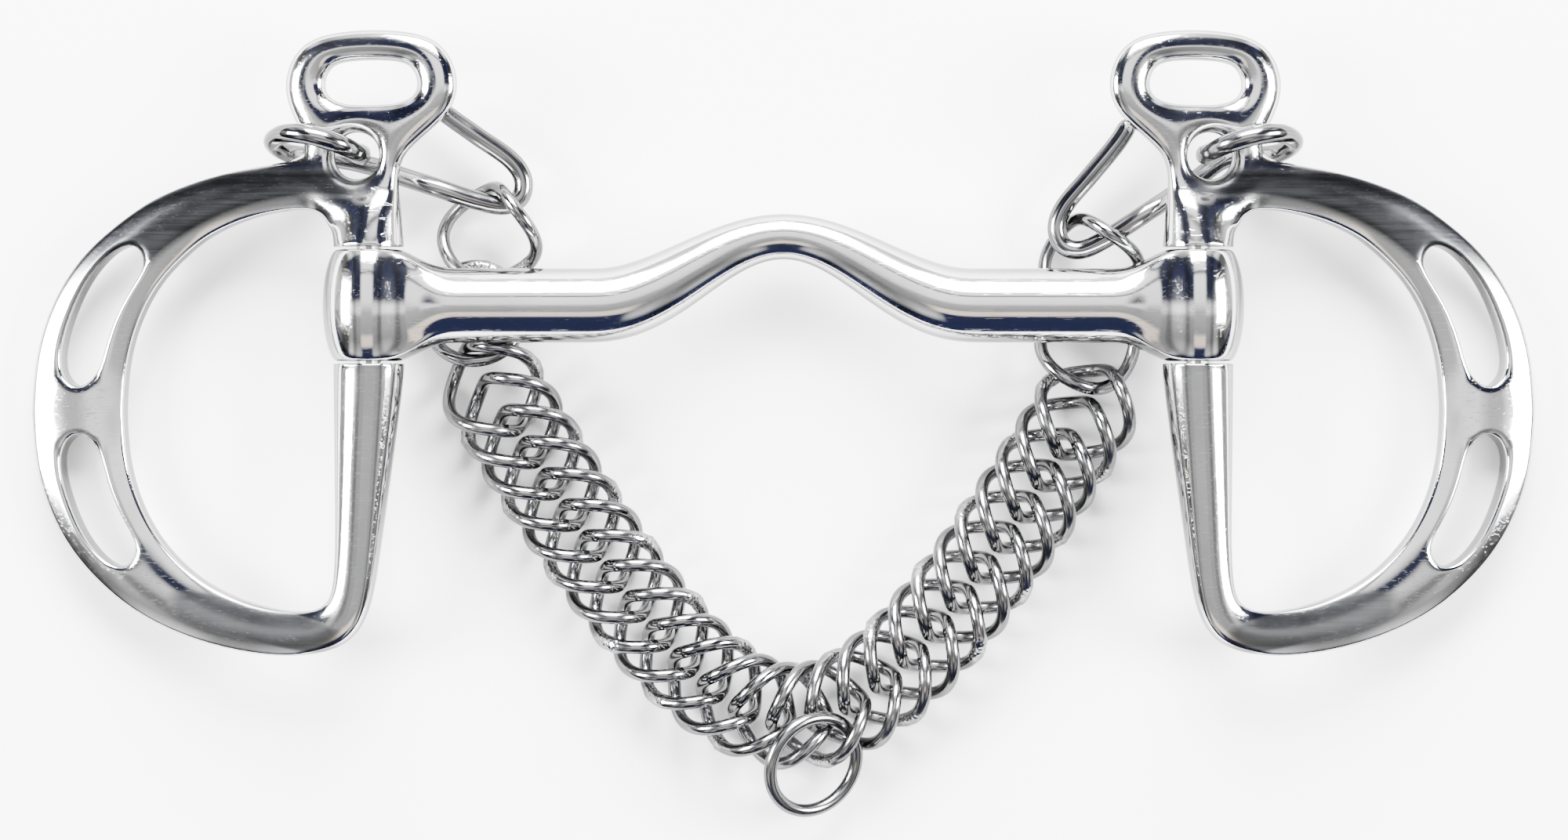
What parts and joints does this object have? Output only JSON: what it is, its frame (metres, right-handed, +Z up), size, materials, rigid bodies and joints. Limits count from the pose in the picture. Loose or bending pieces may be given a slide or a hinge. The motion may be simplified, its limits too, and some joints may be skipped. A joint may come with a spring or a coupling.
{
  "type": "curb bit",
  "caption": "Curb bit with a low-port mouthpiece, swivelling slotted D cheeks with headpiece loops, wire curb hooks, a double-linked curb chain and a lip strap ring.",
  "frame": {"origin": "middle of the footprint, on the surface the bit lies on", "axes": "+X along the mouthpiece, +Y towards the headpiece loops, +Z up from the table"},
  "size_m": [0.251, 0.1304, 0.02],
  "materials": {
    "polished_steel": "mirror-polished stainless steel with light scratches",
    "wire_steel": "polished drawn stainless wire with draw lines and weld beads",
    "pin_steel": "turned steel"
  },
  "bodies": {
    "mouthpiece": {"mouthpiece": "polished_steel"},
    "left_cheek": {"left_cheek": "polished_steel", "left_spindle_pin": "pin_steel"},
    "right_cheek": {"right_cheek": "polished_steel", "right_spindle_pin": "pin_steel"},
    "left_curb_hook": {"left_curb_hook": "wire_steel"},
    "right_curb_hook": {"right_curb_hook": "wire_steel"},
    "curb_chain": {"chain_ring_01": "wire_steel", "chain_ring_02": "wire_steel", "chain_ring_03": "wire_steel", "chain_ring_04": "wire_steel", "chain_ring_05": "wire_steel", "chain_ring_06": "wire_steel", "chain_ring_07": "wire_steel", "chain_ring_08": "wire_steel", "chain_ring_09": "wire_steel", "chain_ring_10": "wire_steel", "chain_ring_11": "wire_steel", "chain_ring_12": "wire_steel", "chain_ring_13": "wire_steel", "chain_ring_14": "wire_steel", "chain_ring_15": "wire_steel", "chain_ring_16": "wire_steel", "chain_ring_17": "wire_steel", "chain_ring_18": "wire_steel", "chain_ring_19": "wire_steel", "chain_ring_20": "wire_steel", "chain_ring_21": "wire_steel", "chain_ring_22": "wire_steel", "chain_ring_23": "wire_steel", "chain_ring_24": "wire_steel", "chain_ring_25": "wire_steel", "chain_ring_26": "wire_steel", "chain_ring_27": "wire_steel", "chain_ring_28": "wire_steel", "chain_ring_29": "wire_steel"},
    "lip_strap_ring": {"lip_strap_ring": "wire_steel"}
  },
  "joints": [
    {"name": "left_cheek_swing", "type": "hinge", "parent": "mouthpiece", "child": "left_cheek", "pos_m": [-0.0684, 0.01974, 0.0123], "axis": [0, 1, 0], "range_deg": [-10, 10]},
    {"name": "right_cheek_swing", "type": "hinge", "parent": "mouthpiece", "child": "right_cheek", "pos_m": [0.0684, 0.01974, 0.0123], "axis": [0, -1, 0], "range_deg": [-10, 10]},
    {"name": "left_hook_swing", "type": "hinge", "parent": "mouthpiece", "child": "left_curb_hook", "pos_m": [-0.076, 0.04504, 0.0123], "axis": [0, 0, -1], "range_deg": [0, 2]},
    {"name": "right_hook_swing", "type": "hinge", "parent": "mouthpiece", "child": "right_curb_hook", "pos_m": [0.076, 0.04504, 0.0123], "axis": [0, 0, 1], "range_deg": [-0.8, 0]},
    {"name": "curb_chain_swing", "type": "hinge", "parent": "mouthpiece", "child": "curb_chain", "pos_m": [-0.04879, 0.03738, 0.0086], "axis": [0.9964, -0.0598, -0.0594], "range_deg": [0, 10]},
    {"name": "lip_ring_swing", "type": "hinge", "parent": "curb_chain", "child": "lip_strap_ring", "pos_m": [0.00868, -0.05547, 0.00701], "axis": [0.6088, 0.3528, 0.7106], "range_deg": [-3, 14]}
  ]
}
